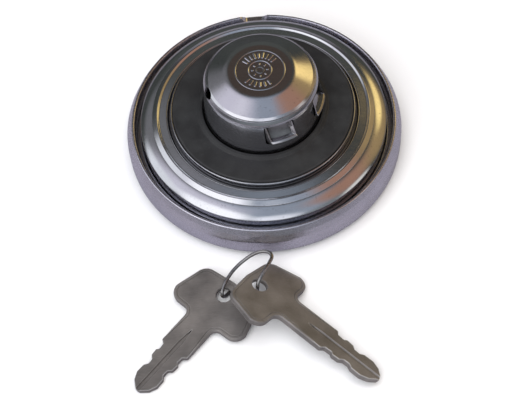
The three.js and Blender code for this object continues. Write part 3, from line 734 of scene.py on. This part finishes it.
def key_cutters(size):
    """The hole with its worn edges, and the milled groove on each face of the blade."""
    radius, thick = KEY["hole_radius"], KEY["thick"]
    hole = turned(rounded([(0, -1, 0), (radius + 1.3, -1, 0), (radius + 0.35, 0, 0.1), (radius, 0.35, 0.4),
                           (radius, thick - 0.35, 0.4), (radius + 0.35, thick, 0.1),
                           (radius + 1.3, thick + 1, 0), (0, thick + 1, 0)], closed=False), 64)
    hole.transform(Matrix.Translation((KEY["hole"], 0, 0)))
    top_groove = groove_cutter(size, thick - 0.6, thick + 0.6, 0.6, 1.5)
    bottom_groove = groove_cutter(size, -0.6, 0.5, 1.5, 0.6)
    return [hole, top_groove, bottom_groove]


def key(name, body, placing, material):
    blank = to_object(name, key_blank(placing))
    combine(blank, [to_object("key_cutter", cutter) for cutter in key_cutters(placing)], "DIFFERENCE")
    x, y, z = placing["hole"]
    lean = about_z(placing["heading"]) @ Matrix.Rotation(math.radians(placing["pitch"]), 4, "Y")
    lean = lean @ Matrix.Rotation(math.radians(placing["roll"]), 4, "X")
    at_rest = Matrix.Translation((CAP + Vector((x, y, z))) * MM) @ lean
    to_hole = Matrix.Translation((CAP + Vector((KEY["hole"], 0, 0))) * -MM)
    blank.data.transform(at_rest @ to_hole)
    shade(blank, KEY_SHARP)
    return finish_piece(blank, body, "key_nickel", material, body)


def wire(name, points, radius):
    """A round wire along a smooth curve through the points, with rounded ends."""
    curve = bpy.data.curves.new(name, "CURVE")
    curve.dimensions = "3D"
    curve.bevel_depth = radius * MM
    curve.bevel_resolution = 5
    curve.resolution_u = 10
    curve.use_fill_caps = True
    spline = curve.splines.new("BEZIER")
    spline.bezier_points.add(len(points) - 1)
    for knot, point in zip(spline.bezier_points, points):
        knot.co = (CAP + Vector(point)) * MM
        knot.handle_left_type = knot.handle_right_type = "AUTO"
    holder = bpy.data.objects.new(name + "_curve", curve)
    bpy.context.scene.collection.objects.link(holder)
    graph = bpy.context.evaluated_depsgraph_get()
    mesh = bpy.data.meshes.new_from_object(holder.evaluated_get(graph))
    bpy.data.objects.remove(holder)
    piece = bpy.data.objects.new(name, mesh)
    bpy.context.scene.collection.objects.link(piece)
    shade(piece)
    return piece


# ---------- studio ----------
def studio_world():
    """A dim surround with soft coloured patches, seen only in reflections; the camera sees plain white."""
    world = bpy.data.worlds.new("studio")
    bpy.context.scene.world = world
    world.use_nodes = True
    tree = world.node_tree
    tree.nodes.clear()

    def node(kind, inputs=None, **settings):
        made = tree.nodes.new(kind)
        for key, value in settings.items():
            setattr(made, key, value)
        for key, value in (inputs or {}).items():
            if isinstance(value, bpy.types.NodeSocket):
                tree.links.new(value, made.inputs[key])
            else:
                made.inputs[key].default_value = value
        return made

    sight = node("ShaderNodeTexCoord").outputs["Generated"]

    def patch(direction, core, edge):
        """1 within core degrees of a direction, fading to 0 at edge degrees."""
        toward = Vector(direction).normalized()
        dot = node("ShaderNodeVectorMath", {0: sight, 1: toward}, operation="DOT_PRODUCT").outputs["Value"]
        fade = {"From Min": math.cos(math.radians(edge)), "From Max": math.cos(math.radians(core))}
        faded = node("ShaderNodeMapRange", {"Value": dot, **fade}, interpolation_type="SMOOTHSTEP")
        return faded.outputs["Result"]

    def mixed(factor, first, second):
        made = tree.nodes.new("ShaderNodeMix")
        made.data_type = "RGBA"
        for socket, value in ((MIX_FACTOR, factor), (MIX_FIRST, first), (MIX_SECOND, second)):
            if isinstance(value, bpy.types.NodeSocket):
                tree.links.new(value, made.inputs[socket])
            else:
                made.inputs[socket].default_value = value
        return made.outputs[MIX_RESULT]

    colour = SURROUND
    for direction, core, edge, tint in STUDIO_PATCHES:
        colour = mixed(patch(direction, core, edge), colour, rgba(*tint))
    seen = node("ShaderNodeLightPath").outputs["Is Camera Ray"]
    colour = mixed(seen, colour, BACKDROP)
    background = node("ShaderNodeBackground", {"Color": colour, "Strength": 1.0})
    output = node("ShaderNodeOutputWorld")
    tree.links.new(background.outputs[0], output.inputs[0])


# The patches were placed and coloured after what the chrome reflects in the photograph.
# Each one: its direction, the degrees from its middle where it starts and ends to fade, and its colour.
STUDIO_PATCHES = [
    ((0.0, -0.9, 0.25), 35, 85, (0.20, 0.22, 0.235)),
    ((0.0, 0.90, 0.40), 16, 30, (0.075, 0.080, 0.075)),
    ((0.0, 0.52, 0.85), 8, 20, (0.066, 0.050, 0.042)),
    ((-0.60, 0.45, 0.65), 10, 28, (0.17, 0.17, 0.18)),
    ((0.0, -0.40, 0.93), 20, 44, (0.30, 0.34, 0.41)),
    ((-0.62, -0.12, 0.78), 12, 36, (0.68, 0.66, 0.76)),
    ((0.60, -0.08, 0.80), 6, 28, (0.38, 0.21, 0.15)),
    ((0.74, 0.40, 0.45), 10, 32, (0.36, 0.25, 0.12)),
    ((0.62, 0.58, 0.53), 5, 15, (1.25, 0.92, 0.36)),
    ((-0.58, -0.50, 0.64), 15, 29, (1.25, 1.25, 1.3)),
    ((0.86, -0.31, 0.39), 7, 16, (0.80, 0.78, 0.74)),
    ((0.05, -0.76, 0.64), 8, 20, (0.95, 0.97, 1.05)),
    ((-0.90, 0.10, 0.42), 10, 24, (0.85, 0.87, 0.92)),
]
SURROUND = rgba(0.050, 0.055, 0.052)
BACKDROP = rgba(1.0, 1.0, 1.0)


def area_light(name, place, size, power):
    """A round white lamp aimed at the origin, which polished metal doesn't show."""
    light = bpy.data.lights.new(name, "AREA")
    light.shape = "DISK"
    light.size = size
    light.energy = power
    lamp = bpy.data.objects.new(name, light)
    lamp.location = place
    lamp.rotation_euler = (Vector((0, 0, 0)) - Vector(place)).to_track_quat("-Z", "Y").to_euler()
    lamp.visible_glossy = False
    bpy.context.scene.collection.objects.link(lamp)


def floor(material):
    bm = bmesh.new()
    bmesh.ops.create_grid(bm, x_segments=8, y_segments=8, size=FLOOR_HALF)
    piece = to_object("studio_floor", bm)
    piece.data.materials.append(material)


def camera():
    """The camera looks down along +Y, with a slight roll."""
    tilt, roll = CAMERA_TILT, CAMERA_ROLL
    right = Vector((1, 0, 0))
    up = Vector((0, math.sin(tilt), math.cos(tilt)))
    back = Vector((0, -math.cos(tilt), math.sin(tilt)))
    rolled_right = math.cos(roll) * right - math.sin(roll) * up
    rolled_up = math.sin(roll) * right + math.cos(roll) * up
    data = bpy.data.cameras.new("camera")
    data.sensor_fit = "HORIZONTAL"
    data.sensor_width = SENSOR_WIDTH
    data.lens = CAMERA_LENS
    data.clip_start = 0.01
    eye = bpy.data.objects.new("camera", data)
    turn = Matrix((rolled_right, rolled_up, back)).transposed().to_4x4()
    eye.matrix_world = Matrix.Translation((CAP + Vector(CAMERA_PLACE)) * MM) @ turn
    bpy.context.scene.collection.objects.link(eye)
    bpy.context.scene.camera = eye


# ---------- the set ----------
def build():
    materials = make_materials()
    bright, cup = materials["bright_chrome"], materials["cup_chrome"]
    outer_cover(materials["cover_chrome"])
    inner_pan(bright)
    seat_ring(bright)
    gasket_retainer(bright)
    gasket(materials["gasket_rubber"])
    latch_cup(cup)
    lock_bezel(bright)
    keyhole_shutter(bright)
    steel_finish = materials["latch_steel"]
    latch("front_latch_bolt", "front_latch", "latch_front", LATCH_HEADING, PRONGS["front"], steel_finish)
    latch("rear_latch_bolt", "rear_latch", "latch_rear", LATCH_HEADING + 180, PRONGS["rear"], steel_finish)
    key("key_a_skin", "key_a", KEY_A, materials["key_nickel"])
    key("key_b_skin", "key_b", KEY_B, materials["key_nickel"])
    ring = wire("key_ring_wire", RING_ROUTE, RING_WIRE)
    finish_piece(ring, "ring", "ring_wire", materials["ring_wire"], "key_ring")
    for part in frame["record"]["subparts"]:
        node = frame["nodes"][part["node"]]
        node.data.materials.clear()
        node.data.materials.append(materials[part["material_slot"]])
    floor(floor_material())


camera()
build()
studio_world()
area_light("overhead", (0.0, -0.1, 1.2), 1.4, 12.5)
area_light("front", (-0.5, -0.9, 0.8), 0.8, 4.0)
bpy.context.scene.view_settings.view_transform = "Standard"
